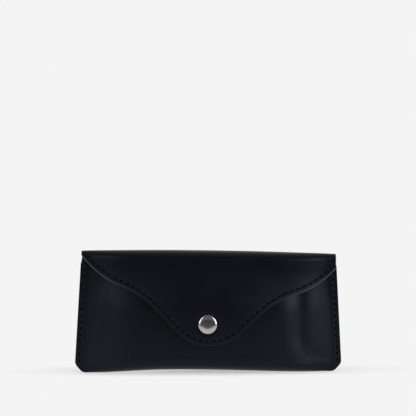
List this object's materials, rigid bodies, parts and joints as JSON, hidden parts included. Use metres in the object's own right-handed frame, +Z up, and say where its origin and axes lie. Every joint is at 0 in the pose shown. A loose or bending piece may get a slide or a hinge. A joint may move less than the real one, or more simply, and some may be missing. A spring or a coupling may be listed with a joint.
{
  "type": "soft pouch glasses case",
  "caption": "Soft leather pouch for folded glasses, with stitched side seams and an S-edged envelope flap that folds over the top and closes with a press stud.",
  "frame": {"origin": "middle of the base, on the table that the case stands on, under the middle of its box", "axes": "+X along the case's length to the right seen from the front, +Y from the snap to the back panel, +Z up"},
  "size_m": [0.17, 0.0296, 0.0786],
  "materials": {
    "body_leather": "smooth black, semi-matt",
    "body_lining": "black brushed lining",
    "flap_leather": "smooth black, semi-matt",
    "flap_lining": "black brushed lining",
    "snap_cap": "nickel plated",
    "snap_socket": "nickel plated",
    "snap_spring": "drawn wire",
    "snap_stud": "nickel plated",
    "snap_post": "nickel plated",
    "thread": "black waxed thread"
  },
  "bodies": {
    "pouch": {"body_leather": "body_leather", "body_lining": "body_lining", "snap_stud": "snap_stud", "snap_post": "snap_post", "left_seam_thread": "thread", "right_seam_thread": "thread", "left_seam_back_thread": "thread", "right_seam_back_thread": "thread"},
    "flap": {"flap_leather": "flap_leather", "flap_lining": "flap_lining", "flap_thread": "thread", "snap_cap": "snap_cap", "snap_socket": "snap_socket", "snap_spring": "snap_spring"}
  },
  "joints": [
    {"name": "flap_hinge", "type": "hinge", "parent": "pouch", "child": "flap", "pos_m": [0, 0.01035, 0.0724], "axis": [-0.9998, 0, 0.0184], "range_deg": [0, 180]}
  ]
}
